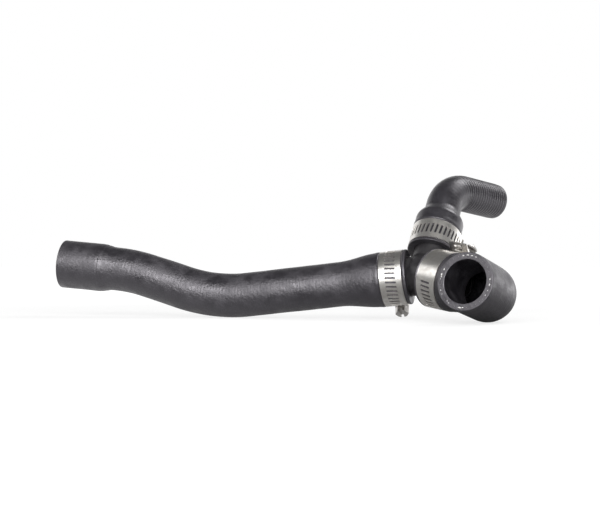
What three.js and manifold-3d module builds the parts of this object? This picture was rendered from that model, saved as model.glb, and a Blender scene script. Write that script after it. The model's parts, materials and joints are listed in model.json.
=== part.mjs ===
// Radiator hose set: three moulded coolant hoses on a three-way connector, each held by a worm-drive clamp.
// Millimetres. +X runs to the right, +Y away from the front, +Z up. The set lies on a flat surface at z = 0.
// Every route and arm is measured from the junction, the middle of the connector.

import * as THREE from 'three';
import { mergeVertices } from 'three/addons/utils/BufferGeometryUtils.js';
import Module from 'manifold-3d';

// Clearance between pieces that touch
const fitGap = 0.3;

// Facets round each turned or swept surface
const hoseFacets = 24;
const strapFacets = 44;
const screwFacets = 20;
const bendStepDegrees = 8;
const taperSteps = 4;
const ringSpacing = 1;

// Small bevel on the cut ends of the hoses
const endBevel = 0.5;

// Straight bore kept past the end of each stub before the bore narrows
const boreLead = 2;

// How deep a clamp presses into the rubber, and how wide the slope beside it is
const squeezeDepth = 0.65;
const squeezeSlope = 0.6;

// Long hose: left arm, two easy bends, a cuff at each end
const longHoseEnd = 8;
const longCuffDiameter = 31;
const longCuffEnd = 25.5;
const longCuffTaper = 23;
const longTubeDiameter = 25.7;
const longEndCuffDiameter = 28.5;
const longEndCuffLength = 24;
const longEndTaper = 9;
const longWall = 4;
const longCorners = [[-119.6, 30, -13.9], [-170, 41, 2.3]];
const longBends = [95, 95];
const longEndDirection = [-42.5, 8.5, 4];
const longEndLength = 43.5;

// Elbow hose: right arm, one tight elbow back towards the front
const elbowHoseEnd = 9.7;
const elbowCuffDiameter = 32.8;
const elbowCuffEnd = 26;
const elbowCuffTaper = 8;
const elbowTubeDiameter = 31.4;
const elbowWall = 3.9;
const elbowArmOffset = -1.9;
const elbowCorners = [[21.6, -23.2, -5.1], [36.7, -35, -12.1]];
const elbowBends = [30, 18];
const elbowEndDirection = [-21.4, -36.5, 9.6];
const elbowEndLength = 43.4;

// Top hose: upper arm, one bend to the right and away
const topHoseEnd = 15;
const topCuffDiameter = 27.9;
const topCuffEnd = 37;
const topCuffTaper = 8;
const topTubeDiameter = 20.8;
const topWall = 3.6;
const topArmOffset = 1.4;
const topCorners = [[17.4, 31.7, 49.9]];
const topBends = [20];
const topEndDirection = [31, 28.5, -5.6];
const topEndLength = 42.5;

// Connector: hollow hub with a beaded stub for each hose
const hubDiameter = 25;
const connectorWall = 2.4;
const beadHeight = 0.8;
const beadLength = 3;
const stubPastBand = 5.5;
const passageOvershoot = 1;

// Clamp strap
const strapWidth = 12.7;
const strapThickness = 0.65;
const longBandMargin = 2.2;
const elbowBandMargin = 1.5;
const topBandMargin = 2.2;
const slotLength = 6.35;
const slotWidth = 1.2;
const slotPitch = 2.59;
const slotSlantDegrees = -6;
const strapLapDegrees = 27;
const strapInsetDegrees = 4;

// Clamp housing, a stamped dome over the screw with a cheek on each side of the strap
const housingLength = 13;
const sheetThickness = 0.8;
const domeRadius = 4.1;
const domeFacets = 12;
const cheekReach = 2;

// Clamp screw
const wormDiameter = 6;
const wormAboveStrap = 0.25;
const neckDiameter = 5;
const neckLength = 1.2;
const wormBevel = 0.6;
const wormInset = 0.5;
const flangeDiameter = 7.9;
const flangeThickness = 1;
const hexAcrossFlats = 7;
const hexHeight = 4.8;
const driverSlotWidth = 1.7;
const driverSlotDepth = 2.2;

// Where each housing sits round its hose, and how its strap runs
const longHousingDegrees = 57;
const longPlainDegrees = 105;
const longTailLength = 9;
const elbowHousingDegrees = 81;
const elbowPlainDegrees = 182.5;
const elbowTailLength = 15;
const topHousingDegrees = 31;
const topPlainDegrees = 130;
const topTailLength = 9;

// Materials, from the photograph
const rubber = { color: 0x3c3b3f, roughness: 0.62, metalness: 0 };
const plastic = { color: 0x2a2829, roughness: 0.5, metalness: 0 };
const stainless = { color: 0xc9c6c3, roughness: 0.32, metalness: 1 };
const screwSteel = { color: 0xa9a5a1, roughness: 0.38, metalness: 1 };

const manifold = await Module();
manifold.setup();

const part = new THREE.Group();

function vector(values) {
  return new THREE.Vector3(...values);
}

// A closed geometry with only its positions, as one solid
function solidOf(geometry) {
  const bare = geometry.clone();
  bare.deleteAttribute('normal');
  bare.deleteAttribute('uv');
  const merged = mergeVertices(bare, 1e-4);
  const faces = merged.index.array;
  const places = merged.attributes.position.array;
  const corners = [];
  for (let i = 0; i < faces.length; i += 3) {
    const [a, b, c] = faces.slice(i, i + 3);
    if (a !== b && b !== c && c !== a) corners.push(a, b, c);
  }
  return new manifold.Manifold(new manifold.Mesh({
    numProp: 3,
    vertProperties: Float32Array.from(places),
    triVerts: Uint32Array.from(corners),
  }));
}

function geometryOf(solid) {
  const mesh = solid.getMesh();
  const geometry = new THREE.BufferGeometry();
  geometry.setAttribute('position', new THREE.BufferAttribute(Float32Array.from(mesh.vertProperties), 3));
  geometry.setIndex(new THREE.BufferAttribute(Uint32Array.from(mesh.triVerts), 1));
  geometry.computeVertexNormals();
  return geometry;
}

function addMesh(parent, name, geometry, look) {
  const mesh = new THREE.Mesh(geometry, new THREE.MeshStandardMaterial(look));
  mesh.name = name;
  parent.add(mesh);
  return mesh;
}

// A route of straight legs joined by arcs. Each corner but the last has a bend radius.
// A place on it is a point and a turn whose z axis follows the route without twisting.
function layRoute(start, corners, bendRadii) {
  const points = [start, ...corners];
  const pieces = [];
  let from = points[0];
  let length = 0;
  const first = points[1].clone().sub(points[0]).normalize();
  let turn = new THREE.Quaternion().setFromUnitVectors(new THREE.Vector3(0, 0, 1), first);
  for (let i = 1; i < points.length; i++) {
    const incoming = points[i].clone().sub(points[i - 1]).normalize();
    const isLast = i === points.length - 1;
    const outgoing = isLast ? incoming : points[i + 1].clone().sub(points[i]).normalize();
    const angle = isLast ? 0 : incoming.angleTo(outgoing);
    const radius = isLast ? 0 : bendRadii[i - 1];
    const setBack = radius * Math.tan(angle / 2);
    const lineEnd = points[i].clone().addScaledVector(incoming, -setBack);
    const lineLength = from.distanceTo(lineEnd);
    pieces.push({ start: length, length: lineLength, from, turn, angle: 0 });
    length += lineLength;
    if (isLast) break;
    const axis = incoming.clone().cross(outgoing).normalize();
    pieces.push({ start: length, length: radius * angle, from: lineEnd, turn, angle, axis, radius });
    length += radius * angle;
    turn = new THREE.Quaternion().setFromAxisAngle(axis, angle).multiply(turn);
    from = points[i].clone().addScaledVector(outgoing, setBack);
  }
  return { pieces, length };
}

function placeOnRoute(route, distance) {
  let piece = route.pieces[0];
  for (const next of route.pieces) if (distance >= next.start) piece = next;
  const along = distance - piece.start;
  const tangent = new THREE.Vector3(0, 0, 1).applyQuaternion(piece.turn);
  if (!piece.angle) {
    return { point: piece.from.clone().addScaledVector(tangent, along), turn: piece.turn };
  }
  const swing = new THREE.Quaternion().setFromAxisAngle(piece.axis, along / piece.radius);
  const inward = piece.axis.clone().cross(tangent).multiplyScalar(piece.radius);
  const centre = piece.from.clone().add(inward);
  const point = centre.sub(inward.applyQuaternion(swing));
  return { point, turn: swing.multiply(piece.turn) };
}

// Distances along a route at which its bends need a ring
function bendStations(route) {
  const stations = [];
  for (const piece of route.pieces) {
    if (!piece.angle) continue;
    const steps = Math.ceil(THREE.MathUtils.radToDeg(piece.angle) / bendStepDegrees);
    for (let i = 0; i <= steps; i++) stations.push(piece.start + (piece.length * i) / steps);
  }
  return stations;
}

// An eased slope from one radius to another, as [distance, radius] points
function taper(from, radiusFrom, to, radiusTo) {
  const points = [];
  for (let i = 0; i <= taperSteps; i++) {
    const share = i / taperSteps;
    const eased = share * share * (3 - 2 * share);
    points.push([from + (to - from) * share, radiusFrom + (radiusTo - radiusFrom) * eased]);
  }
  return points;
}

// Adds the bend stations to a list of [distance, radius] points that runs along the hose
function withStations(points, stations) {
  const first = points[0][0];
  const last = points[points.length - 1][0];
  const extra = [];
  for (const station of stations) {
    if (station <= first || station >= last) continue;
    if (points.some((point) => Math.abs(point[0] - station) < ringSpacing)) continue;
    const next = points.findIndex((point) => point[0] > station);
    const [s0, r0] = points[next - 1];
    const [s1, r1] = points[next];
    extra.push([station, r0 + ((r1 - r0) * (station - s0)) / (s1 - s0)]);
  }
  return [...points, ...extra].sort((a, b) => a[0] - b[0]);
}

// A hose: the closed wall section is turned round the axis, then bent along the route
function hoseGeometry(route, outer, bore) {
  const stations = bendStations(route);
  const outside = withStations(outer, stations);
  const inside = withStations(bore, stations).reverse();
  const section = [...outside, ...inside].map(([distance, radius]) => new THREE.Vector2(radius, distance));
  section.push(section[0].clone());
  const geometry = new THREE.LatheGeometry(section, hoseFacets);
  const places = geometry.attributes.position;
  const place = new THREE.Vector3();
  for (let i = 0; i < places.count; i++) {
    place.fromBufferAttribute(places, i);
    const spot = placeOnRoute(route, place.y);
    place.set(place.x, -place.z, 0).applyQuaternion(spot.turn).add(spot.point);
    places.setXYZ(i, place.x, place.y, place.z);
  }
  return geometryOf(solidOf(geometry));
}

// Radii of one arm, from the cuff that the clamp presses on
function armSizes(cuffDiameter, wall, hoseEnd, margin) {
  const cuffRadius = cuffDiameter / 2;
  const grooveRadius = cuffRadius - squeezeDepth;
  const boreRadius = cuffRadius - wall;
  const stubRadius = boreRadius - fitGap;
  const bandStart = hoseEnd + margin;
  const bandEnd = bandStart + strapWidth;
  return {
    cuffRadius,
    grooveRadius,
    boreRadius,
    stubRadius,
    bandStart,
    bandEnd,
    hoseEnd,
    beadRadius: stubRadius + beadHeight,
    stubEnd: bandEnd + stubPastBand,
    strapInner: grooveRadius + fitGap,
  };
}

const longArm = armSizes(longCuffDiameter, longWall, longHoseEnd, longBandMargin);
const elbowArm = armSizes(elbowCuffDiameter, elbowWall, elbowHoseEnd, elbowBandMargin);
const topArm = armSizes(topCuffDiameter, topWall, topHoseEnd, topBandMargin);

// Corners of a route up to the free end, which lies a given length past the last bend's corner
function cornersToEnd(corners, direction, length) {
  const bends = corners.map(vector);
  const end = vector(direction).setLength(length).add(bends[bends.length - 1]);
  return [...bends, end];
}

const junction = new THREE.Vector3();
const elbowStart = new THREE.Vector3(elbowArmOffset, 0, 0);
const topStart = new THREE.Vector3(topArmOffset, 0, 0);
const longRoute = layRoute(junction, cornersToEnd(longCorners, longEndDirection, longEndLength), longBends);
const elbowRoute = layRoute(elbowStart, cornersToEnd(elbowCorners, elbowEndDirection, elbowEndLength), elbowBends);
const topRoute = layRoute(topStart, cornersToEnd(topCorners, topEndDirection, topEndLength), topBends);

// Outside of a cuff on the connector: bevelled rim and the groove that the clamp presses in
function cuffOutside(arm) {
  const { cuffRadius, grooveRadius, hoseEnd, bandStart, bandEnd } = arm;
  return [
    [hoseEnd, cuffRadius - endBevel],
    [hoseEnd + endBevel, cuffRadius],
    [bandStart - fitGap - squeezeSlope, cuffRadius],
    [bandStart - fitGap, grooveRadius],
    [bandEnd + fitGap, grooveRadius],
    [bandEnd + fitGap + squeezeSlope, cuffRadius],
  ];
}

// Inside of a cuff on the connector: a snug bore with a recess round the stub's bead
function cuffInside(arm) {
  const { boreRadius, hoseEnd, stubEnd, beadRadius } = arm;
  const recessStart = stubEnd - beadLength - 2 * fitGap;
  return [
    [hoseEnd, boreRadius],
    [recessStart - beadHeight, boreRadius],
    [recessStart, beadRadius + fitGap],
    [stubEnd + fitGap, beadRadius + fitGap],
    [stubEnd + fitGap + beadHeight, boreRadius],
  ];
}

function makeLongHose() {
  const tube = longTubeDiameter / 2;
  const endCuff = longEndCuffDiameter / 2;
  const end = longRoute.length;
  const cuffStart = end - longEndCuffLength;
  const boreSlope = Math.max(longCuffEnd, longArm.stubEnd + boreLead);
  const outer = [
    ...cuffOutside(longArm),
    ...taper(longCuffEnd, longArm.cuffRadius, longCuffEnd + longCuffTaper, tube),
    ...taper(cuffStart - longEndTaper, tube, cuffStart, endCuff),
    [end - endBevel, endCuff],
    [end, endCuff - endBevel],
  ];
  const bore = [
    ...cuffInside(longArm),
    ...taper(boreSlope, longArm.boreRadius, longCuffEnd + longCuffTaper, tube - longWall),
    ...taper(cuffStart - longEndTaper, tube - longWall, cuffStart, endCuff - longWall),
    [end, endCuff - longWall],
  ];
  addMesh(part, 'long_hose', hoseGeometry(longRoute, outer, bore), rubber);
}

function makeElbowHose() {
  const tube = elbowTubeDiameter / 2;
  const end = elbowRoute.length;
  const slopeEnd = elbowCuffEnd + elbowCuffTaper;
  const boreSlope = Math.max(elbowCuffEnd, elbowArm.stubEnd + boreLead);
  const outer = [
    ...cuffOutside(elbowArm),
    ...taper(elbowCuffEnd, elbowArm.cuffRadius, slopeEnd, tube),
    [end - endBevel, tube],
    [end, tube - endBevel],
  ];
  const bore = [
    ...cuffInside(elbowArm),
    ...taper(boreSlope, elbowArm.boreRadius, boreSlope + elbowCuffTaper, tube - elbowWall),
    [end, tube - elbowWall],
  ];
  addMesh(part, 'elbow_hose', hoseGeometry(elbowRoute, outer, bore), rubber);
}

function makeTopHose() {
  const tube = topTubeDiameter / 2;
  const end = topRoute.length;
  const slopeEnd = topCuffEnd + topCuffTaper;
  const boreSlope = Math.max(topCuffEnd, topArm.stubEnd + boreLead);
  const outer = [
    ...cuffOutside(topArm),
    ...taper(topCuffEnd, topArm.cuffRadius, slopeEnd, tube),
    [end - endBevel, tube],
    [end, tube - endBevel],
  ];
  const bore = [
    ...cuffInside(topArm),
    ...taper(boreSlope, topArm.boreRadius, boreSlope + topCuffTaper, tube - topWall),
    [end, tube - topWall],
  ];
  addMesh(part, 'top_hose', hoseGeometry(topRoute, outer, bore), rubber);
}

// A solid turned round the start of a route: radius and distance pairs, closed on the axis
function turnedOnRoute(route, profile) {
  const geometry = new THREE.LatheGeometry(profile.map(([r, s]) => new THREE.Vector2(r, s)), hoseFacets);
  geometry.rotateX(Math.PI / 2);
  const start = placeOnRoute(route, 0);
  geometry.applyQuaternion(start.turn);
  geometry.translate(start.point.x, start.point.y, start.point.z);
  return solidOf(geometry);
}

function makeConnector() {
  const arms = [[longRoute, longArm], [elbowRoute, elbowArm], [topRoute, topArm]];
  let outside = solidOf(new THREE.SphereGeometry(hubDiameter / 2, hoseFacets, hoseFacets / 2));
  let passage = solidOf(new THREE.SphereGeometry(hubDiameter / 2 - connectorWall, hoseFacets, hoseFacets / 2));
  for (const [route, arm] of arms) {
    const { stubRadius, beadRadius, stubEnd } = arm;
    const boreRadius = stubRadius - connectorWall;
    outside = outside.add(turnedOnRoute(route, [
      [0, 0],
      [stubRadius, 0],
      [stubRadius, stubEnd - beadLength],
      [beadRadius, stubEnd - beadLength + beadHeight],
      [stubRadius - beadHeight, stubEnd],
      [0, stubEnd],
    ]));
    passage = passage.add(turnedOnRoute(route, [
      [0, 0],
      [boreRadius, 0],
      [boreRadius, stubEnd + passageOvershoot],
      [0, stubEnd + passageOvershoot],
    ]));
  }
  addMesh(part, 'three_way', geometryOf(outside.subtract(passage)), plastic);
}

// Sizes of one clamp, from the radius of the groove that it sits in
function clampSizes(strapInner) {
  const lapInner = strapInner + strapThickness + fitGap;
  const lapOuter = lapInner + strapThickness;
  return {
    strapInner,
    lapInner,
    lapOuter,
    screwOffset: lapOuter + wormAboveStrap + wormDiameter / 2,
  };
}

// Place of the strap's inner face at an angle past the housing, in the plane of the clamp.
// It starts under the screw, goes once round, rises over its own start and leaves the housing as a straight tail.
function strapPoint(sizes, degrees, offset, tail) {
  const riseStart = 360 - 2 * strapLapDegrees;
  const riseEnd = 360 - strapLapDegrees;
  const share = THREE.MathUtils.smoothstep(degrees, riseStart, riseEnd);
  const radius = sizes.strapInner + (sizes.lapInner - sizes.strapInner) * share + offset;
  const angle = THREE.MathUtils.degToRad(degrees);
  return new THREE.Vector2(
    radius * Math.cos(angle) - tail * Math.sin(angle),
    radius * Math.sin(angle) + tail * Math.cos(angle),
  );
}

function strapGeometry(sizes, tailLength) {
  const start = -strapLapDegrees + strapInsetDegrees;
  const end = 360 + strapLapDegrees;
  const steps = Math.ceil(((end - start) / 360) * strapFacets);
  const inner = [];
  const outer = [];
  for (let i = 0; i <= steps; i++) {
    const degrees = start + ((end - start) * i) / steps;
    inner.push(strapPoint(sizes, degrees, 0, 0));
    outer.push(strapPoint(sizes, degrees, strapThickness, 0));
  }
  inner.push(strapPoint(sizes, end, 0, tailLength));
  outer.push(strapPoint(sizes, end, strapThickness, tailLength));
  const outline = new THREE.Shape([...outer, ...inner.reverse()]);
  const geometry = new THREE.ExtrudeGeometry(outline, { depth: strapWidth, bevelEnabled: false, curveSegments: 1 });
  geometry.translate(0, 0, -strapWidth / 2);
  return geometry;
}

// The slots: a row of thin slanted boxes through the strap, from the end of its plain part to its tail
function slotCutters(sizes, plainDegrees, tailLength) {
  const cutters = [];
  const middle = sizes.strapInner + strapThickness / 2;
  const end = 360 + strapLapDegrees;
  const perSlot = THREE.MathUtils.radToDeg(slotPitch / middle);
  const cut = (degrees, tail) => {
    const place = strapPoint(sizes, degrees, strapThickness / 2, tail);
    const box = new THREE.BoxGeometry(strapThickness + fitGap, slotWidth, slotLength);
    box.rotateX(THREE.MathUtils.degToRad(slotSlantDegrees));
    box.rotateZ(THREE.MathUtils.degToRad(degrees));
    box.translate(place.x, place.y, 0);
    cutters.push(solidOf(box));
  };
  for (let degrees = plainDegrees; degrees < end; degrees += perSlot) cut(degrees, 0);
  for (let tail = slotPitch; tail < tailLength - slotWidth; tail += slotPitch) cut(end, tail);
  return manifold.Manifold.union(cutters);
}

// Stamped housing: a dome over the screw, shoulders beside it and a cheek along each edge of the strap
function housingGeometry(sizes, cuffRadius) {
  const channelRadius = sizes.lapOuter + fitGap;
  const halfWidth = strapWidth / 2 + fitGap + sheetThickness;
  const shoulder = channelRadius + sheetThickness;
  const meet = Math.asin((shoulder - sizes.screwOffset) / domeRadius);
  const outline = new THREE.Shape();
  outline.moveTo(cuffRadius - cheekReach, -halfWidth);
  outline.lineTo(shoulder - sheetThickness / 2, -halfWidth);
  outline.lineTo(shoulder, -halfWidth + sheetThickness / 2);
  for (let i = 0; i <= domeFacets; i++) {
    const angle = meet + ((Math.PI - 2 * meet) * i) / domeFacets;
    outline.lineTo(sizes.screwOffset + domeRadius * Math.sin(angle), -domeRadius * Math.cos(angle));
  }
  outline.lineTo(shoulder, halfWidth - sheetThickness / 2);
  outline.lineTo(shoulder - sheetThickness / 2, halfWidth);
  outline.lineTo(cuffRadius - cheekReach, halfWidth);
  const block = new THREE.ExtrudeGeometry(outline, { depth: housingLength, bevelEnabled: false });
  block.rotateX(-Math.PI / 2);
  block.translate(0, -housingLength / 2, 0);
  const overHose = new THREE.CylinderGeometry(cuffRadius + fitGap, cuffRadius + fitGap, 3 * strapWidth, strapFacets);
  overHose.rotateX(Math.PI / 2);
  const channel = new THREE.CylinderGeometry(channelRadius, channelRadius, strapWidth + 2 * fitGap, strapFacets);
  channel.rotateX(Math.PI / 2);
  const boreRadius = wormDiameter / 2 + fitGap;
  const bore = new THREE.CylinderGeometry(boreRadius, boreRadius, 2 * housingLength, screwFacets);
  bore.translate(sizes.screwOffset, 0, 0);
  return geometryOf(solidOf(block).subtract(solidOf(overHose)).subtract(solidOf(channel)).subtract(solidOf(bore)));
}

// Worm screw about the y axis, its slotted hexagon head towards -y with one corner towards -x
function screwGeometry() {
  const worm = wormDiameter / 2;
  const flange = flangeDiameter / 2;
  const neckTop = -housingLength / 2 - fitGap;
  const headStart = neckTop - flangeThickness;
  const headEnd = headStart - hexHeight;
  const tip = housingLength / 2 - wormInset;
  const neckEnd = neckTop + neckLength;
  const shank = new THREE.LatheGeometry([
    new THREE.Vector2(0, headStart),
    new THREE.Vector2(flange, headStart),
    new THREE.Vector2(flange, neckTop),
    new THREE.Vector2(neckDiameter / 2, neckTop),
    new THREE.Vector2(neckDiameter / 2, neckEnd),
    new THREE.Vector2(worm, neckEnd + worm - neckDiameter / 2),
    new THREE.Vector2(worm, tip - wormBevel),
    new THREE.Vector2(worm - wormBevel, tip),
    new THREE.Vector2(0, tip),
  ], screwFacets);
  const corner = hexAcrossFlats / 2 / Math.cos(Math.PI / 6);
  const hex = new THREE.CylinderGeometry(corner, corner, hexHeight + flangeThickness / 2, 6);
  hex.rotateY(Math.PI / 2);
  hex.translate(0, headStart - hexHeight / 2 + flangeThickness / 4, 0);
  const slot = new THREE.BoxGeometry(3 * corner, 2 * driverSlotDepth, driverSlotWidth);
  slot.translate(0, headEnd, 0);
  return geometryOf(solidOf(shank).add(solidOf(hex)).subtract(solidOf(slot)));
}

// One clamp. Its own frame has z along the hose, x towards the screw and y along the strap past the housing.
function makeClamp(name, route, arm, radial, facing, plainDegrees, tailLength) {
  const sizes = clampSizes(arm.strapInner);
  const middle = placeOnRoute(route, (arm.bandStart + arm.bandEnd) / 2);
  const axis = new THREE.Vector3(0, 0, 1).applyQuaternion(middle.turn);
  const outward = radial.clone().addScaledVector(axis, -radial.dot(axis)).normalize();
  const z = axis.multiplyScalar(facing);
  const y = z.clone().cross(outward);
  const clamp = new THREE.Group();
  clamp.applyMatrix4(new THREE.Matrix4().makeBasis(outward, y, z).setPosition(middle.point));
  part.add(clamp);
  const strap = solidOf(strapGeometry(sizes, tailLength));
  const slotted = strap.subtract(slotCutters(sizes, plainDegrees, tailLength));
  addMesh(clamp, `${name}_band`, geometryOf(slotted), stainless);
  addMesh(clamp, `${name}_housing`, housingGeometry(sizes, arm.cuffRadius), stainless);
  const screw = addMesh(clamp, `${name}_screw`, screwGeometry(), screwSteel);
  screw.position.x = sizes.screwOffset;
}

// A direction across a hose, turned from one side of it towards another
function between(first, second, degrees) {
  const angle = THREE.MathUtils.degToRad(degrees);
  return first.clone().multiplyScalar(Math.cos(angle)).addScaledVector(second, Math.sin(angle));
}

function acrossRoute(route, towards) {
  const along = new THREE.Vector3(0, 0, 1).applyQuaternion(placeOnRoute(route, 0).turn);
  return towards.clone().addScaledVector(along, -towards.dot(along)).normalize();
}

const up = new THREE.Vector3(0, 0, 1);
const down = new THREE.Vector3(0, 0, -1);
const right = new THREE.Vector3(1, 0, 0);
const away = new THREE.Vector3(0, 1, 0);

makeLongHose();
makeElbowHose();
makeTopHose();
makeConnector();

// Long hose: from the underside round to the back. Elbow hose: from the top round to the right and back.
// Top hose: from the right round to the back.
const longSide = between(acrossRoute(longRoute, down), acrossRoute(longRoute, away), longHousingDegrees);
const elbowSide = between(acrossRoute(elbowRoute, up), acrossRoute(elbowRoute, away), elbowHousingDegrees);
const topSide = between(acrossRoute(topRoute, right), acrossRoute(topRoute, away), topHousingDegrees);
makeClamp('long', longRoute, longArm, longSide, -1, longPlainDegrees, longTailLength);
makeClamp('elbow', elbowRoute, elbowArm, elbowSide, 1, elbowPlainDegrees, elbowTailLength);
makeClamp('top', topRoute, topArm, topSide, 1, topPlainDegrees, topTailLength);

// Stand the set on z = 0 with the middle of its box over the origin
part.updateMatrixWorld(true);
const box = new THREE.Box3().setFromObject(part, true);
const centre = box.getCenter(new THREE.Vector3());
part.position.set(-centre.x, -centre.y, -box.min.z);
part.updateMatrixWorld(true);

export default part;
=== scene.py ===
"""Radiator hose set: three moulded rubber hoses on a three-way connector, held by worm-drive clamps.

Every shape is worked out in millimetres from the junction, the middle of the connector, and goes into its
mesh in metres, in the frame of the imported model.
"""

import json

import bpy
import numpy as np
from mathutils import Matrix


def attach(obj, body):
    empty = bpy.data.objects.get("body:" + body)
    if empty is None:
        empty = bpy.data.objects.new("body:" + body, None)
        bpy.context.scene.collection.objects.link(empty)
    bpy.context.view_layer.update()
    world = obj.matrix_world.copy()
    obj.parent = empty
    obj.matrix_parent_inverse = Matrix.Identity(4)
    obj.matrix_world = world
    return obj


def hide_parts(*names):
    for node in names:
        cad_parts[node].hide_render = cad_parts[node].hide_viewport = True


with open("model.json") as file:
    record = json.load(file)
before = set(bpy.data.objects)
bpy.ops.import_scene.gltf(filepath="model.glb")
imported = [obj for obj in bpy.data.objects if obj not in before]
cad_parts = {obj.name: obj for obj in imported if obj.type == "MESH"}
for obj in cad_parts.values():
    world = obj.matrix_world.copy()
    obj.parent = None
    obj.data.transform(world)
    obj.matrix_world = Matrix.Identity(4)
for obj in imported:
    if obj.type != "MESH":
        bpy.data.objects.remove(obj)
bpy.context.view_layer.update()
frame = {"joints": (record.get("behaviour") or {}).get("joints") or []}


# Three-way connector: one moulding of black glass-filled nylon, a hollow hub with a stub for each hose.
# A bead near the end of each stub holds the hose. Its sizes follow from the bores of the hoses.

FIT_GAP = 0.3
SQUEEZE = 0.65
STRAP_WIDTH = 12.7
STRAP_THICKNESS = 0.65
WORM_DIAMETER = 6.0
WORM_ABOVE_STRAP = 0.25
STUB_PAST_BAND = 5.5


def unit(vector):
    """The vector divided by its length."""
    return np.asarray(vector, float) / np.linalg.norm(vector)


def arm_sizes(cuff_diameter, wall, hose_end, margin, start, corner):
    """Distances from the junction and radii of one arm, worked out from its cuff."""
    cuff = cuff_diameter / 2
    strap_inner = cuff - SQUEEZE + FIT_GAP
    lap_inner = strap_inner + STRAP_THICKNESS + FIT_GAP
    band_start = hose_end + margin
    band_end = band_start + STRAP_WIDTH
    return {
        "start": np.array(start, float),
        "direction": unit(np.subtract(corner, start)),
        "cuff": cuff,
        "bore": cuff - wall,
        "stub": cuff - wall - FIT_GAP,
        "stub_end": band_end + STUB_PAST_BAND,
        "hose_end": hose_end,
        "band_start": band_start,
        "band_end": band_end,
        "strap_inner": strap_inner,
        "lap_inner": lap_inner,
        "screw_offset": lap_inner + STRAP_THICKNESS + WORM_ABOVE_STRAP + WORM_DIAMETER / 2,
    }


def corners_to_end(corners, direction, length):
    """Corners of a hose's route, the last one a given length past the last bend in a given direction."""
    return [*corners, tuple(np.array(corners[-1]) + unit(direction) * length)]


LONG_START, ELBOW_START, TOP_START = (0, 0, 0), (-1.9, 0, 0), (1.4, 0, 0)
LONG_CORNERS = corners_to_end([(-119.6, 30, -13.9), (-170, 41, 2.3)], (-42.5, 8.5, 4), 43.5)
ELBOW_CORNERS = corners_to_end([(21.6, -23.2, -5.1), (36.7, -35, -12.1)], (-21.4, -36.5, 9.6), 43.4)
TOP_CORNERS = corners_to_end([(17.4, 31.7, 49.9)], (31, 28.5, -5.6), 42.5)

long_arm = arm_sizes(31, 4, 8, 2.2, LONG_START, LONG_CORNERS[0])
elbow_arm = arm_sizes(32.8, 3.9, 9.7, 1.5, ELBOW_START, ELBOW_CORNERS[0])
top_arm = arm_sizes(27.9, 3.6, 15, 2.2, TOP_START, TOP_CORNERS[0])


def screw_place(joint_name, arm, facing):
    """Place and directions of a clamp, from its screw's joint.

    The directions are x outwards, y along the screw and z along the hose."""
    joint = next(j for j in frame["joints"] if j["name"] == joint_name)
    y = unit(joint["axis"])
    z = arm["direction"] * facing
    x = unit(np.cross(y, z))
    return 1000 * np.array(joint["pos_m"]), np.stack([x, np.cross(z, x), z])


def band_middle(arm):
    """The middle of the band, measured from the junction."""
    return arm["start"] + arm["direction"] * (arm["band_start"] + arm["band_end"]) / 2


long_screw_at, long_turn = screw_place("long_screw_turn", long_arm, -1)
junction = long_screw_at - long_turn[0] * long_arm["screw_offset"] - band_middle(long_arm)


def grid_faces(rows, columns, close_rows=False, close_columns=False):
    """Corner numbers of the faces of a grid of points kept row by row.

    A closed grid joins its last line to its first."""
    row = np.arange(rows if close_rows else rows - 1)[:, None]
    column = np.arange(columns if close_columns else columns - 1)[None, :]
    next_row = (row + 1) % rows
    next_column = (column + 1) % columns
    corners = [
        row * columns + column,
        row * columns + next_column,
        next_row * columns + next_column,
        next_row * columns + column,
    ]
    return np.stack(np.broadcast_arrays(*corners), -1).reshape(-1, 4)


def enclosed(points, faces):
    """Volume inside closed faces: the sum of a . (b x c) / 6 over their triangles."""
    a, b, c, d = (points[faces[:, i]] for i in range(4))
    return (np.sum(a * np.cross(b, c)) + np.sum(a * np.cross(c, d))) / 6


def add_mesh(name, points, faces):
    """Puts points in millimetres and faces of four corners into a smooth mesh object, faces outwards."""
    middle = points.mean(0)
    if enclosed(points - middle, faces) < 0:
        faces = faces[:, ::-1]
    mesh = bpy.data.meshes.new(name)
    mesh.vertices.add(len(points))
    mesh.vertices.foreach_set("co", ((points + junction) / 1000).astype(np.float32).ravel())
    mesh.loops.add(faces.size)
    mesh.loops.foreach_set("vertex_index", faces.astype(np.int32).ravel())
    mesh.polygons.add(len(faces))
    mesh.polygons.foreach_set("loop_start", np.arange(0, faces.size, 4, dtype=np.int32))
    mesh.update(calc_edges=True)
    mesh.shade_smooth()
    piece = bpy.data.objects.new(name, mesh)
    bpy.context.scene.collection.objects.link(piece)
    return piece


def keep_modifiers(piece):
    """Works the modifiers of a piece into its mesh."""
    bpy.context.view_layer.update()
    evaluated = piece.evaluated_get(bpy.context.evaluated_depsgraph_get())
    mesh = bpy.data.meshes.new_from_object(evaluated)
    piece.modifiers.clear()
    piece.data = mesh
    return piece


def weld(piece, reach):
    """Merges the points of a piece that lie nearer to each other than a reach in metres."""
    piece.modifiers.new("weld", "WELD").merge_threshold = reach
    return keep_modifiers(piece)


def join_or_cut(piece, other, operation):
    """Joins another closed piece to this one or cuts it out, and takes the other piece away."""
    modifier = piece.modifiers.new("solid", "BOOLEAN")
    modifier.object = other
    modifier.operation = operation
    modifier.solver = "EXACT"
    keep_modifiers(piece)
    bpy.data.objects.remove(other)
    return piece


# A direction that no hose, stub or ball follows.
ASKEW = (0.31, 0.42, 0.85)


def across(direction):
    """Two directions across a given one, at right angles to each other."""
    side = unit(np.cross(direction, ASKEW))
    return side, np.cross(direction, side)


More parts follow.
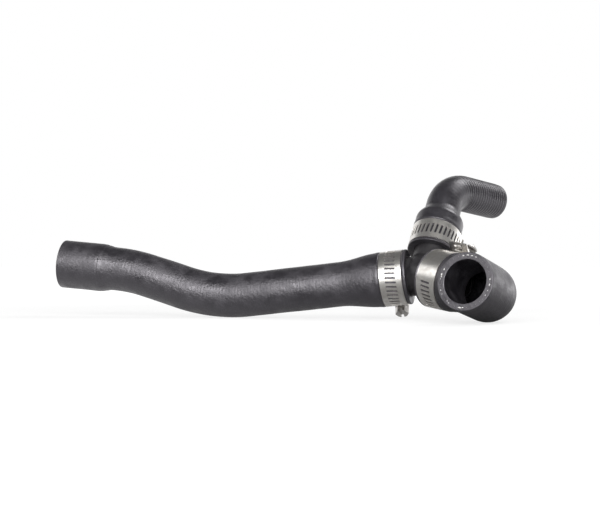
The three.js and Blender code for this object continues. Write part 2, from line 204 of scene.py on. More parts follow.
def turned(name, start, direction, distances, radii, around=72):
    """A solid turned about a straight axis: point = start + direction d + radius (side cos a + up sin a).

    The profile starts and ends on the axis, where its points are merged into poles."""
    side, up = across(direction)
    angle = np.linspace(0, 2 * np.pi, around, endpoint=False)
    ring = np.cos(angle)[:, None] * side + np.sin(angle)[:, None] * up
    distance = np.asarray(distances)[:, None, None]
    radius = np.asarray(radii)[:, None, None]
    points = start + distance * direction + radius * ring
    faces = grid_faces(len(distances), around, close_columns=True)
    return weld(add_mesh(name, points.reshape(-1, 3), faces), 1e-6)


def arc(centre, radius, start_degrees, end_degrees, steps):
    """Points on an arc: centre + radius (cos a, sin a), as two rows."""
    angle = np.radians(np.linspace(start_degrees, end_degrees, steps + 1))
    return centre[0] + radius * np.cos(angle), centre[1] + radius * np.sin(angle)


HUB_RADIUS = 12.5
CONNECTOR_WALL = 2.4
STUB_ROOT = 4
STUB_EDGE = 0.4
STUB_EDGE_LENGTH = 0.7
BEAD_HEIGHT = 0.8
BEAD_LENGTH = 3.0
BORE_OVERSHOOT = 1
BLEND_GRAIN = 0.45
BLEND_ROUNDS = 14
CONNECTOR_SHARP_DEGREES = 40

# Side view of the bead's ramp: distance from where the bead starts and height over the stub.
BEAD_RAMP = [(-0.3, 0), (0, 0.12), (0.35, BEAD_HEIGHT - 0.1), (0.8, BEAD_HEIGHT)]


def ball(name, radius):
    """A ball round the junction, turned from a half circle."""
    distances, radii = arc((0, 0), radius, 180, 0, 48)
    return turned(name, np.zeros(3), unit((0.2, 0.3, 1)), distances, np.abs(radii))


def stub(name, arm):
    """One stub, turned from its side view: barrel, ramped bead and rounded mouth."""
    radius, end = arm["stub"], arm["stub_end"]
    profile = [(0, 0), (0, radius), (STUB_ROOT, radius)]
    profile += [(end - BEAD_LENGTH + on, radius + height) for on, height in BEAD_RAMP]
    profile += [(end - STUB_EDGE_LENGTH, radius - STUB_EDGE), (end, radius - 2 * STUB_EDGE), (end, 0)]
    return turned(name, arm["start"], arm["direction"], *zip(*profile))


def stub_bore(name, arm):
    """The passage of one stub, a little longer than the stub."""
    radius = arm["stub"] - CONNECTOR_WALL
    end = arm["stub_end"] + BORE_OVERSHOOT
    return turned(name, arm["start"], arm["direction"], [0, 0, end, end], [0, radius, radius, 0])


connector = ball("three_way_connector", HUB_RADIUS)
passage = ball("passage", HUB_RADIUS - CONNECTOR_WALL)
for arm_name, arm in {"long": long_arm, "elbow": elbow_arm, "top": top_arm}.items():
    join_or_cut(connector, stub(f"stub_{arm_name}", arm), "UNION")
    join_or_cut(passage, stub_bore(f"bore_{arm_name}", arm), "UNION")
blend = connector.modifiers.new("grid", "REMESH")
blend.mode = "VOXEL"
blend.voxel_size = BLEND_GRAIN / 1000
blend.use_smooth_shade = True
roots = connector.modifiers.new("roots", "SMOOTH")
roots.factor = 0.5
roots.iterations = BLEND_ROUNDS
keep_modifiers(connector)
join_or_cut(connector, passage, "DIFFERENCE")
connector.data.shade_smooth()
connector.data.set_sharp_from_angle(angle=np.radians(CONNECTOR_SHARP_DEGREES))


def add_node(tree, kind, **settings):
    """A shader node with its settings.

    A name that begins with in_ is an input socket, by name or number. It takes a value or an output."""
    node = tree.nodes.new(kind)
    for name, value in settings.items():
        if not name.startswith("in_"):
            setattr(node, name, value)
            continue
        key = name[3:]
        socket = node.inputs[int(key) if key.isdigit() else key.replace("_", " ")]
        if isinstance(value, bpy.types.NodeSocket):
            tree.links.new(value, socket)
        else:
            socket.default_value = value
    return node


def worked_out(tree, operation, *values):
    """The output of a math node, from numbers or other nodes' outputs."""
    inputs = {f"in_{number}": value for number, value in enumerate(values)}
    return add_node(tree, "ShaderNodeMath", operation=operation, **inputs).outputs[0]


def fade(tree, value, start, end, first=0.0, last=1.0, kind="SMOOTHSTEP"):
    """Runs from one number to another while a value runs from start to end."""
    ramp = add_node(tree, "ShaderNodeMapRange", interpolation_type=kind, in_Value=value, in_From_Min=start,
                    in_From_Max=end, in_To_Min=first, in_To_Max=last)
    return ramp.outputs["Result"]


def noise(tree, vector, scale, detail, roughness=0.5):
    """The output of a noise texture."""
    return add_node(tree, "ShaderNodeTexNoise", in_Vector=vector, in_Scale=scale, in_Detail=detail,
                    in_Roughness=roughness).outputs["Fac"]


def blended(tree, share, first, second):
    """A colour between two others."""
    return add_node(tree, "ShaderNodeMix", data_type="RGBA", in_Factor=share, in_A=first,
                    in_B=second).outputs["Result"]


def new_group(name, inputs):
    """An empty shader node group and its inputs' sockets, made after their usual values.

    Four numbers make a colour, three a vector. Every group puts out a colour, a roughness and a height."""
    group = bpy.data.node_groups.new(name, "ShaderNodeTree")
    for socket, value in inputs.items():
        kind = "Float" if isinstance(value, float) else "Color" if len(value) == 4 else "Vector"
        made = group.interface.new_socket(socket, in_out="INPUT", socket_type=f"NodeSocket{kind}")
        made.default_value = value
    for socket, kind in (("Color", "Color"), ("Roughness", "Float"), ("Height", "Float")):
        group.interface.new_socket(socket, in_out="OUTPUT", socket_type=f"NodeSocket{kind}")
    return group, add_node(group, "NodeGroupInput").outputs


SPECK_COLOUR = (0.3, 0.29, 0.28, 1)
SPECKS_TO_BLOTCHES = 2.2
DENTS_TO_GRAIN = 0.32
DENT_HEIGHT = 2.4


def moulded_skin():
    """Skin of a moulded or cured piece: soft blotches, fine grain and scattered pale specks.

    Colour is dark mixed with light by the blotches, and roughness moves with them. Height is the grain plus
    uneven dents, a few times wider."""
    group, given = new_group("moulded_skin", {
        "Vector": (0, 0, 0), "Dark": (0.03, 0.03, 0.03, 1), "Light": (0.05, 0.05, 0.05, 1),
        "Blotch Scale": 90.0, "Grain Scale": 2500.0, "Roughness": 0.5, "Roughness Spread": 0.1, "Specks": 0.1,
    })
    vector = given["Vector"]
    dot_scale = worked_out(group, "MULTIPLY", given["Blotch Scale"], SPECKS_TO_BLOTCHES)
    dent_scale = worked_out(group, "MULTIPLY", given["Grain Scale"], DENTS_TO_GRAIN)
    blotches = noise(group, vector, given["Blotch Scale"], 4.0, 0.55)
    grain = noise(group, vector, given["Grain Scale"], 2.0)
    dents = noise(group, vector, dent_scale, 3.0, 0.6)
    dots = add_node(group, "ShaderNodeTexVoronoi", in_Vector=vector, in_Scale=dot_scale)
    spread = fade(group, blotches, 0.34, 0.66, kind="LINEAR")
    speck = fade(group, dots.outputs["Distance"], 0.075, 0.055, kind="LINEAR")
    tone = blended(group, spread, given["Dark"], given["Light"])
    pale = worked_out(group, "MULTIPLY", speck, given["Specks"])
    offset = worked_out(group, "SUBTRACT", spread, 0.5)
    add_node(
        group, "NodeGroupOutput",
        in_Color=blended(group, pale, tone, SPECK_COLOUR),
        in_Roughness=worked_out(group, "MULTIPLY_ADD", offset, given["Roughness Spread"],
                                given["Roughness"]),
        in_Height=worked_out(group, "MULTIPLY_ADD", dents, DENT_HEIGHT, grain),
    )
    return group


moulded_skin_group = moulded_skin()


def surface_material(name, group, coordinates, settings, bump_depth, **shader_values):
    """A material with one Principled shader, its plain values set on its own sockets.

    Its colour, roughness and shallow bump come from a group, on a map or on the object's own coordinates."""
    material = bpy.data.materials.new(name)
    material.use_nodes = True
    tree = material.node_tree
    shader = tree.nodes["Principled BSDF"]
    for socket, value in shader_values.items():
        shader.inputs[socket.replace("_", " ")].default_value = value
    place = add_node(tree, "ShaderNodeTexCoord").outputs[coordinates]
    surface = add_node(tree, "ShaderNodeGroup", node_tree=group, in_Vector=place)
    for socket, value in settings.items():
        surface.inputs[socket].default_value = value
    bump = add_node(tree, "ShaderNodeBump", in_Strength=1.0, in_Distance=bump_depth / 1000,
                    in_Height=surface.outputs["Height"])
    tree.links.new(surface.outputs["Color"], shader.inputs["Base Color"])
    tree.links.new(surface.outputs["Roughness"], shader.inputs["Roughness"])
    tree.links.new(bump.outputs["Normal"], shader.inputs["Normal"])
    return material


def skin_material(name, dark, light, blotches, grain, roughness, spread, specks, bump_depth, **values):
    """A moulded finish on the object's own coordinates, from two colours, two scales and the rest."""
    settings = {"Dark": (*dark, 1), "Light": (*light, 1), "Blotch Scale": blotches, "Grain Scale": grain,
                "Roughness": roughness, "Roughness Spread": spread, "Specks": specks}
    return surface_material(name, moulded_skin_group, "Object", settings, bump_depth, **values)


connector_plastic = skin_material("connector_plastic", (0.02, 0.019, 0.021), (0.036, 0.034, 0.036),
                                  blotches=160.0, grain=5000.0, roughness=0.36, spread=0.12, specks=0.1,
                                  bump_depth=0.02)
connector.data.materials.append(connector_plastic)
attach(connector, "hose_set")
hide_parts("three_way")


# Long hose: black EPDM rubber over a knitted yarn, cured on a bent former so that it keeps its bends.
# It has a wide cuff on the connector and a smaller one at its free end.

LONG_BENDS = [95, 95]
LONG_CUFF_END = 25.5
LONG_CUFF_TAPER = 23
LONG_TUBE = 25.7 / 2
LONG_WALL = 4
LONG_END_CUFF = 28.5 / 2
LONG_END_CUFF_LENGTH = 24
LONG_END_TAPER = 9
LONG_RING_HEIGHT = 0.035
TUBE_RING_PITCH = 1.95
UNEVENNESS = 0.09
CREASES_BEFORE_CUFF = (1.0, 3.6, 6.6)
CREASE_WIDTH = 0.45
CREASE_DEPTH = 0.13


def rotated(vector, axis, angles):
    """Turns a vector about a unit axis k by angles a: v cos a + (k x v) sin a + k (k . v)(1 - cos a)."""
    cosine = np.cos(angles)[..., None]
    sine = np.sin(angles)[..., None]
    return vector * cosine + np.cross(axis, vector) * sine + axis * (axis @ vector) * (1 - cosine)


def lay_route(start, corners, bend_radii):
    """Straight legs joined by arcs. Each stretch is kept as its start distance, start point, direction, side
    direction, bend axis and bend radius, and a straight leg has radius 0."""
    points = [np.array(point, float) for point in (start, *corners)]
    legs = [unit(b - a) for a, b in zip(points, points[1:])]
    side = across(legs[0])[0]
    stretches = []
    distance = 0.0
    place = points[0]
    for number, leg in enumerate(legs):
        is_last = number == len(legs) - 1
        bend = 0.0 if is_last else np.arccos(leg @ legs[number + 1])
        radius = 0.0 if is_last else bend_radii[number]
        set_back = radius * np.tan(bend / 2)
        leg_end = points[number + 1] - leg * set_back
        stretches.append((distance, place, leg, side, None, 0.0))
        distance += np.linalg.norm(leg_end - place)
        if is_last:
            break
        axis = unit(np.cross(leg, legs[number + 1]))
        stretches.append((distance, leg_end, leg, side, axis, radius))
        distance += radius * bend
        side = rotated(side, axis, np.array(bend))
        place = points[number + 1] + legs[number + 1] * set_back
    return stretches, distance


def along_route(route, distances):
    """Points on a route with a side and an up direction across it, for an array of distances.

    On a leg the point is start + direction d. On an arc about axis k with inward = (k x direction) R, it is
    start + inward - inward turned by d / R."""
    points = np.zeros((len(distances), 3))
    sides = np.zeros((len(distances), 3))
    tangents = np.zeros((len(distances), 3))
    for begins, place, direction, side, axis, radius in route[0]:
        here = distances >= begins
        on = distances[here] - begins
        if axis is None:
            points[here] = place + on[:, None] * direction
            sides[here] = side
            tangents[here] = direction
            continue
        inward = np.cross(axis, direction) * radius
        points[here] = place + inward - rotated(inward, axis, on / radius)
        sides[here] = rotated(side, axis, on / radius)
        tangents[here] = rotated(direction, axis, on / radius)
    return points, sides, np.cross(tangents, sides)


def ease(value, start, end):
    """Runs from 0 at start to 1 at end as 3 t t - 2 t t t, with t the share of the way."""
    share = np.clip((value - start) / (end - start), 0, 1)
    return share * share * (3 - 2 * share)


def rise_and_fall(value, rise_from, rise_to, fall_from, fall_to):
    """Runs from 0 to 1 over the rise and back to 0 over the fall."""
    return ease(value, rise_from, rise_to) - ease(value, fall_from, fall_to)


PRESS_SLOPE = 0.9
PRESS_MARGIN = 0.03
PRESS_BULGE = 0.28
BULGE_REACH = 1.5


def pressed(distance, arm):
    """How far a clamp moves the rubber outwards: down under the band, and up in a soft roll at each edge."""
    depth = arm["cuff"] - arm["strap_inner"] + PRESS_MARGIN
    start, end = arm["band_start"], arm["band_end"]
    under = rise_and_fall(distance, start - PRESS_SLOPE, start, end, end + PRESS_SLOPE)
    before = np.exp(-(((distance - start + BULGE_REACH) / BULGE_REACH) ** 2))
    after = np.exp(-(((distance - end - BULGE_REACH) / BULGE_REACH) ** 2))
    return PRESS_BULGE * (before + after) * (1 - under) - depth * under


WAVE_COUNT = 6
WAVE_TURNS = 2
UNEVEN_PAST_BAND = 2


def waves(distance, angle, length, seed):
    """Slow unevenness of a cured surface: a mean of cosine waves along and round it, from -1 to 1."""
    chance = np.random.default_rng(seed)
    total = 0
    for _ in range(WAVE_COUNT):
        pitch = length * chance.uniform(0.6, 1.6)
        round_turns = chance.integers(0, WAVE_TURNS + 1)
        phase = chance.uniform(0, 2 * np.pi)
        total = total + np.cos(2 * np.pi * distance / pitch + round_turns * angle + phase)
    return total / WAVE_COUNT


def uneven_rubber(distance, angle, arm, full_from, height, length, seed):
    """Slow unevenness that sets in past the band, so that the strap lies on round rubber."""
    past_band = ease(distance, arm["band_end"] + UNEVEN_PAST_BAND, full_from)
    return height * waves(distance, angle, length, seed) * past_band


RING_DRIFT = 0.35
RING_DRIFT_LENGTH = 38
VALLEY_ROUNDING = 0.01
RING_MEAN = 0.6


def wrap_rings(distance, angle, pitch, seed):
    """Rings that the wrapping tape leaves on cured rubber: rounded crests a pitch apart with narrow valleys.

    Height is the square root of half of 1 - cos of the phase, so crests are broad. The phase drifts."""
    drift = RING_DRIFT * waves(distance, angle, RING_DRIFT_LENGTH, seed)
    phase = 2 * np.pi * distance / pitch + drift
    return np.sqrt(np.maximum(0.5 - 0.5 * np.cos(phase), 0) + VALLEY_ROUNDING) - RING_MEAN


HOSE_AROUND = 128
CUT_ROUNDING = 0.4
CUT_STEPS = 6
HOSE_STEP = 0.42
BORE_STEP = 2
FACE_SHARES = np.array([0.08, 0.35, 0.65, 0.92])


def hose_section(arm, length, outside, bore, step):
    """Distance and radius round the closed section of a hose wall, with the cut edges rounded.

    It runs along the outside, over the free end, back along the bore and over the end on the connector."""
    start = arm["hose_end"]
    edge = CUT_ROUNDING
    run = np.linspace(start + edge, length - edge, int((length - start) / step))
    coarse = np.linspace(length - edge, start + edge, int((length - start) / BORE_STEP))
    one_each = np.ones(len(FACE_SHARES))
    outer_start, outer_end = outside(run[:1])[0], outside(run[-1:])[0]
    bore_start, bore_end = bore(run[:1])[0], bore(run[-1:])[0]
    parts = [
        arc((start + edge, outer_start - edge), edge, 180, 90, CUT_STEPS),
        (run[1:-1], outside(run[1:-1])),
        arc((length - edge, outer_end - edge), edge, 90, 0, CUT_STEPS),
        (one_each * length, (outer_end - edge) + FACE_SHARES * (bore_end - outer_end + 2 * edge)),
        arc((length - edge, bore_end + edge), edge, 0, -90, CUT_STEPS),
        (coarse[1:-1], bore(coarse[1:-1])),
        arc((start + edge, bore_start + edge), edge, -90, -180, CUT_STEPS),
        (one_each * start, (bore_start + edge) + FACE_SHARES * (outer_start - bore_start - 2 * edge)),
    ]
    distances = np.concatenate([part[0] for part in parts])
    radii = np.concatenate([part[1] for part in parts])
    on_outside = np.concatenate([np.full(len(part[0]), number == 1) for number, part in enumerate(parts)])
    return distances, radii, on_outside


def hose_mesh(name, route, arm, outside, bore, relief, step=HOSE_STEP):
    """A hose wall: point = place on the route + radius (side cos a + up sin a).

    Relief is added to the radius on the outside."""
    distances, radii, on_outside = hose_section(arm, route[1], outside, bore, step)
    angle = np.linspace(0, 2 * np.pi, HOSE_AROUND, endpoint=False)
    places, sides, ups = along_route(route, distances)
    rise = relief(distances[:, None], angle[None, :]) * on_outside[:, None]
    reach = (radii[:, None] + rise)[..., None]
    ring = np.cos(angle)[None, :, None] * sides[:, None, :] + np.sin(angle)[None, :, None] * ups[:, None, :]
    points = (places[:, None, :] + reach * ring).reshape(-1, 3)
    return add_mesh(name, points, grid_faces(len(distances), HOSE_AROUND, True, True))


SNUG_PAST_STUB = 2
SWELL_RUN = 1.4


def bore_past_stub(distance, arm, narrow, taper_end):
    """Bore of a hose: it hugs the stub, swells over the bead, then eases to the bore of the tube."""
    snug_end = arm["stub_end"] + SNUG_PAST_STUB
    snug = arm["bore"] + (narrow - arm["bore"]) * ease(distance, snug_end, taper_end)
    end = arm["stub_end"] + FIT_GAP
    full = end - BEAD_LENGTH - FIT_GAP
    return snug + BEAD_HEIGHT * rise_and_fall(distance, full - SWELL_RUN, full, end, end + SWELL_RUN)


RUBBER_DARK, RUBBER_LIGHT = (0.0115, 0.0105, 0.0135), (0.022, 0.0205, 0.025)
RUBBER_SHEEN_TINT = (0.98, 0.945, 1.0, 1.0)
hose_rubber = skin_material("hose_rubber", RUBBER_DARK, RUBBER_LIGHT, blotches=140.0, grain=1700.0,
                            roughness=0.45, spread=0.27, specks=0.12, bump_depth=0.1, IOR=1.68,
                            Specular_IOR_Level=0.9, Specular_Tint=RUBBER_SHEEN_TINT)
long_route = lay_route(LONG_START, LONG_CORNERS, LONG_BENDS)
LONG_CUFF_START = long_route[1] - LONG_END_CUFF_LENGTH


def tapered(distance, arm, tube, cuff_end, taper):
    """Outer radius of a hose: its cuff, pressed by the clamp, then a taper to the tube."""
    narrow = ease(distance, cuff_end, cuff_end + taper)
    return arm["cuff"] + (tube - arm["cuff"]) * narrow + pressed(distance, arm)


def long_flare(distance):
    """How much wider the end cuff of the long hose is than its tube."""
    return (LONG_END_CUFF - LONG_TUBE) * ease(distance, LONG_CUFF_START - LONG_END_TAPER, LONG_CUFF_START)


def long_outside(distance):
    """Outer radius of the long hose: cuff, slow taper, tube, short flare and end cuff."""
    return tapered(distance, long_arm, LONG_TUBE, LONG_CUFF_END, LONG_CUFF_TAPER) + long_flare(distance)


def long_bore(distance):
    """Bore of the long hose, a wall's thickness inside its outside past the stub."""
    tube = bore_past_stub(distance, long_arm, LONG_TUBE - LONG_WALL, LONG_CUFF_END + LONG_CUFF_TAPER)
    return tube + long_flare(distance)


def long_relief(distance, angle):
    """Faint tape rings between the cuffs, slow unevenness, and shallow creases at the end cuff's neck."""
    on_tube = rise_and_fall(distance, LONG_CUFF_END, LONG_CUFF_END + 12, LONG_CUFF_START - 12,
                            LONG_CUFF_START - 1)
    rings = LONG_RING_HEIGHT * on_tube * wrap_rings(distance, angle, TUBE_RING_PITCH, seed=3)
    uneven = uneven_rubber(distance, angle, long_arm, LONG_CUFF_END + 8, UNEVENNESS, length=26, seed=4)
    creases = 0
    for back in CREASES_BEFORE_CUFF:
        creases = creases + np.exp(-(((distance - LONG_CUFF_START + back) / CREASE_WIDTH) ** 2))
    return rings + uneven - CREASE_DEPTH * creases


long_hose = hose_mesh("long_hose_rubber", long_route, long_arm, long_outside, long_bore, long_relief)
long_hose.data.materials.append(hose_rubber)
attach(long_hose, "hose_set")
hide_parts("long_hose")


# Elbow hose: the widest of the three, with one tight moulded bend that brings its open end to the front.
# The same rubber, knitted yarn and wrapped cure as the long hose.

ELBOW_BENDS = [30, 18]
ELBOW_CUFF_END = 26
ELBOW_CUFF_TAPER = 8
ELBOW_TUBE = 31.4 / 2
ELBOW_WALL = 3.9
ELBOW_RING_HEIGHT = 0.075

elbow_route = lay_route(ELBOW_START, ELBOW_CORNERS, ELBOW_BENDS)


def elbow_outside(distance):
    """Outer radius of the elbow hose: cuff, short taper, tube."""
    return tapered(distance, elbow_arm, ELBOW_TUBE, ELBOW_CUFF_END, ELBOW_CUFF_TAPER)


def elbow_bore(distance):
    """Bore of the elbow hose."""
    taper_end = elbow_arm["stub_end"] + SNUG_PAST_STUB + ELBOW_CUFF_TAPER
    return bore_past_stub(distance, elbow_arm, ELBOW_TUBE - ELBOW_WALL, taper_end)


def elbow_relief(distance, angle):
    """Tape rings that fade out towards both ends, and slow unevenness."""
    end = elbow_route[1]
    on_tube = rise_and_fall(distance, ELBOW_CUFF_END + 2, ELBOW_CUFF_END + 12, end - 22, end - 8)
    rings = ELBOW_RING_HEIGHT * on_tube * wrap_rings(distance, angle, TUBE_RING_PITCH, seed=13)
    uneven = uneven_rubber(distance, angle, elbow_arm, ELBOW_CUFF_END + 8, UNEVENNESS, length=22, seed=14)
    return rings + uneven * (1 - ease(distance, end - 6, end - 1))


elbow_hose = hose_mesh("elbow_hose_rubber", elbow_route, elbow_arm, elbow_outside, elbow_bore, elbow_relief)
elbow_hose.data.materials.append(hose_rubber)
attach(elbow_hose, "hose_set")
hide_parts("elbow_hose")


# Top hose: the thinnest, with a wide cuff on the connector, a shoulder and one bend to the back.
# Its tape rings are the deepest of the set and run round the whole thin part.

TOP_BENDS = [20]
TOP_CUFF_END = 37
TOP_CUFF_TAPER = 8
TOP_TUBE = 20.8 / 2
TOP_WALL = 3.6
TOP_RING_PITCH = 2.05
TOP_RING_HEIGHT = 0.42
TOP_RINGS_GROW_FROM, TOP_RINGS_GROW_TO = 60, 72
TOP_FIRST_RINGS = 0.08
TOP_UNEVENNESS = 0.1
FINE_STEP = 0.25

top_route = lay_route(TOP_START, TOP_CORNERS, TOP_BENDS)


def top_outside(distance):
    """Outer radius of the top hose: cuff, shoulder, tube."""
    return tapered(distance, top_arm, TOP_TUBE, TOP_CUFF_END, TOP_CUFF_TAPER)


def top_bore(distance):
    """Bore of the top hose."""
    taper_end = top_arm["stub_end"] + SNUG_PAST_STUB + TOP_CUFF_TAPER
    return bore_past_stub(distance, top_arm, TOP_TUBE - TOP_WALL, taper_end)


def top_relief(distance, angle):
    """Tape rings that grow strong past the bend, slow unevenness on the cuff."""
    end = top_route[1]
    on_tube = rise_and_fall(distance, TOP_CUFF_END + 5, TOP_CUFF_END + 12, end - 3, end - 1)
    grown = TOP_FIRST_RINGS + (1 - TOP_FIRST_RINGS) * ease(distance, TOP_RINGS_GROW_FROM, TOP_RINGS_GROW_TO)
    rings = TOP_RING_HEIGHT * grown * on_tube * wrap_rings(distance, angle, TOP_RING_PITCH, seed=23)
    uneven = uneven_rubber(distance, angle, top_arm, TOP_CUFF_END, TOP_UNEVENNESS, length=20, seed=24)
    return rings + uneven * (1 - on_tube) * (1 - ease(distance, end - 4, end - 1))


top_hose = hose_mesh("top_hose_rubber", top_route, top_arm, top_outside, top_bore, top_relief, FINE_STEP)
ribbed_rubber = skin_material("ribbed_rubber", RUBBER_DARK, RUBBER_LIGHT, blotches=120.0, grain=1500.0,
                              roughness=0.4, spread=0.14, specks=0.12, bump_depth=0.05,
                              Specular_IOR_Level=0.95, Sheen_Weight=0.3, Sheen_Roughness=0.3,
                              Specular_Tint=RUBBER_SHEEN_TINT)
top_hose.data.materials.append(ribbed_rubber)
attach(top_hose, "hose_set")
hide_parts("top_hose")


# Yarn ends: the white reinforcing thread of each hose, cut with the rubber, so that its ends show as small
# tufts in a ring round each free end. They barely stand out of the cut face.

YARN_SHARE = 0.56
TUFT_SIDES = 8
TUFT_RINGS = 5
TUFT_HEIGHT = 0.22
GROUP_LENGTHEN = 1.35
GROUP_WIDEN = 1.7
SINGLE_SCATTER = 0.3
SINGLE_LENGTHS = (0.06, 0.16)
SINGLE_WIDTHS = (0.05, 0.1)
RING_SCATTER = 0.18


def tufts(places, outs, alongs, lengths, widths):
    """Small rounded tufts: each is an ellipsoid whose long way runs along the ring of yarn.

    point = place + out h cos p + (along l cos a + inward w sin a) sin p"""
    polar = np.linspace(0.02, np.pi - 0.02, TUFT_RINGS)
    turn = np.linspace(0, 2 * np.pi, TUFT_SIDES, endpoint=False)
    inwards = np.cross(outs, alongs)
    flat = (
        alongs[:, None, :] * np.cos(turn)[None, :, None] * lengths[:, None, None]
        + inwards[:, None, :] * np.sin(turn)[None, :, None] * widths[:, None, None]
    )
    height = outs[:, None, None, :] * (TUFT_HEIGHT * np.cos(polar))[None, :, None, None]
    points = places[:, None, None, :] + height + flat[:, None, :, :] * np.sin(polar)[None, :, None, None]
    one = grid_faces(TUFT_RINGS, TUFT_SIDES, close_columns=True)
    shift = TUFT_RINGS * TUFT_SIDES * np.arange(len(places))
    return points.reshape(-1, 3), (one[None] + shift[:, None, None]).reshape(-1, 4)


def yarn_ends(name, route, wall, outer, groups, count, seed):
    """Tufts round a free end: groups of bright ends at given angles, and fainter single ends between them."""
    chance = np.random.default_rng(seed)
    place, side, up = (value[0] for value in along_route(route, np.array([route[1]])))
    out = np.cross(side, up)
    level = unit(np.cross(out, (0, 0, 1)))
    upright = np.cross(level, out)
    ring = outer - wall + YARN_SHARE * wall
    angles, lengths, widths = [], [], []
    for degrees, half_length, half_width in groups:
        angles.append(np.radians(degrees))
        lengths.append(GROUP_LENGTHEN * half_length)
        widths.append(GROUP_WIDEN * half_width)
    for number in range(count):
        angles.append(2 * np.pi * (number + chance.uniform(-SINGLE_SCATTER, SINGLE_SCATTER)) / count)
        lengths.append(chance.uniform(*SINGLE_LENGTHS))
        widths.append(chance.uniform(*SINGLE_WIDTHS))
    angles = np.array(angles)
    radius = ring + chance.uniform(-RING_SCATTER, RING_SCATTER, len(angles))
    outward = np.cos(angles)[:, None] * level + np.sin(angles)[:, None] * upright
    alongs = np.cos(angles)[:, None] * upright - np.sin(angles)[:, None] * level
    places = place + radius[:, None] * outward
    points, faces = tufts(places, np.tile(out, (len(angles), 1)), alongs, np.array(lengths), np.array(widths))
    return add_mesh(name, points, faces)


yarn_material = skin_material("yarn_white", (0.6, 0.59, 0.57), (0.86, 0.85, 0.83), blotches=900.0,
                              grain=9000.0, roughness=0.5, spread=0.1, specks=0.0, bump_depth=0.02)

# Bright groups of ends: angle in degrees round the cut face, half length and half width.
ELBOW_TUFTS = [
    (81, 0.42, 0.2), (91, 0.5, 0.2), (101, 0.5, 0.18), (111, 0.35, 0.15),
    (27, 0.5, 0.22), (15, 0.6, 0.25), (10, 0.3, 0.2), (5, 0.2, 0.12),
    (-20, 0.3, 0.2), (-29, 0.2, 0.14), (-49, 0.24, 0.18), (-55, 0.2, 0.14),
    (-83, 0.75, 0.26), (-90, 0.4, 0.18),
    (175, 0.4, 0.18), (187, 0.55, 0.22), (200, 0.2, 0.12), (211, 0.24, 0.14),
]
PLAIN_TUFTS = [(20, 0.3, 0.14), (75, 0.4, 0.15), (130, 0.25, 0.12), (185, 0.4, 0.16), (250, 0.3, 0.14),
               (310, 0.35, 0.14)]
yarn_sets = [
    yarn_ends("elbow_yarn_ends", elbow_route, ELBOW_WALL, ELBOW_TUBE, ELBOW_TUFTS, 36, 31),
    yarn_ends("long_yarn_ends", long_route, LONG_WALL, LONG_END_CUFF, PLAIN_TUFTS, 32, 32),
    yarn_ends("top_yarn_ends", top_route, TOP_WALL, TOP_TUBE, PLAIN_TUFTS, 24, 33),
]
for piece in yarn_sets:
    piece.data.materials.append(yarn_material)
    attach(piece, "hose_set")


# Clamp straps: a strip of stainless steel, 12.7 mm wide, with a row of slanted slots that the screw bites.
# Each is rolled round its hose. Its slotted end lies over its plain end and runs on as a tail.

SLOT_LENGTH = 6.35
SLOT_WIDTH = 1.2
SLOT_CORNER = 0.45
SLOT_PITCH = 2.59
SLOT_SLANT = np.radians(-6)
LAP_DEGREES = 27
START_DEGREES = -10
END_DEGREES = 360 + LAP_DEGREES
SIDE_STEPS = 6
EDGE_STEPS = 4
PLAIN_STEP = 0.8
SLIVER = 0.01


def strap_points(arm, along, across_strap, lift):
    """A point of the strap in its clamp's directions, from its distance along and across the strap.

    The strap starts under the screw, goes once round at the inner radius, rises over its own start by an
    eased step and leaves as a straight tail. Distance turns to degrees at the radius of its middle."""
    middle = arm["strap_inner"] + STRAP_THICKNESS / 2
    end = np.radians(END_DEGREES - START_DEGREES) * middle
    angle = np.radians(START_DEGREES) + np.minimum(along, end) / middle
    tail = np.maximum(along - end, 0)
    rise = ease(np.degrees(angle), 360 - 2 * LAP_DEGREES, 360 - LAP_DEGREES)
    radius = arm["strap_inner"] + (arm["lap_inner"] - arm["strap_inner"]) * rise + lift
    x = radius * np.cos(angle) - tail * np.sin(angle)
    y = radius * np.sin(angle) + tail * np.cos(angle)
    return np.stack([x, y, across_strap], -1)


def slot_cell():
    """One pitch of strap as two rings of as many points, the cell's edge and the slot's edge.

    The slot's corners are arcs of three points, at 0, 45 and 90 degrees, with 0.71 for the sine of 45."""
    half_pitch, half_width = SLOT_PITCH / 2, STRAP_WIDTH / 2
    up = np.linspace(-1, 1, SIDE_STEPS + 1)[:-1]
    back = np.linspace(1, -1, EDGE_STEPS + 1)[:-1]
    edge_along = np.concatenate([np.full(SIDE_STEPS, 1.0), back, np.full(SIDE_STEPS, -1.0), -back])
    edge_across = np.concatenate([up, np.full(EDGE_STEPS, 1.0), -up, np.full(EDGE_STEPS, -1.0)])
    edge = np.stack([edge_along * half_pitch, edge_across * half_width], -1)
    half_slot, reach = SLOT_WIDTH / 2, SLOT_LENGTH / 2 - SLOT_CORNER
    inset, rise = 0.29 * SLOT_CORNER, 0.71 * SLOT_CORNER
    top = np.array([[half_slot, reach], [half_slot - inset, reach + rise], [0, reach + SLOT_CORNER],
                    [inset - half_slot, reach + rise]])
    right = np.stack([np.full(SIDE_STEPS, half_slot), up * reach], -1)
    slot = np.concatenate([right, top, -right, -top])
    turn = np.array([[np.cos(SLOT_SLANT), -np.sin(SLOT_SLANT)], [np.sin(SLOT_SLANT), np.cos(SLOT_SLANT)]])
    return edge, slot @ turn.T


def between(first, second):
    """Faces between two lines of corner numbers."""
    return np.stack([first[:-1], first[1:], second[1:], second[:-1]], -1)


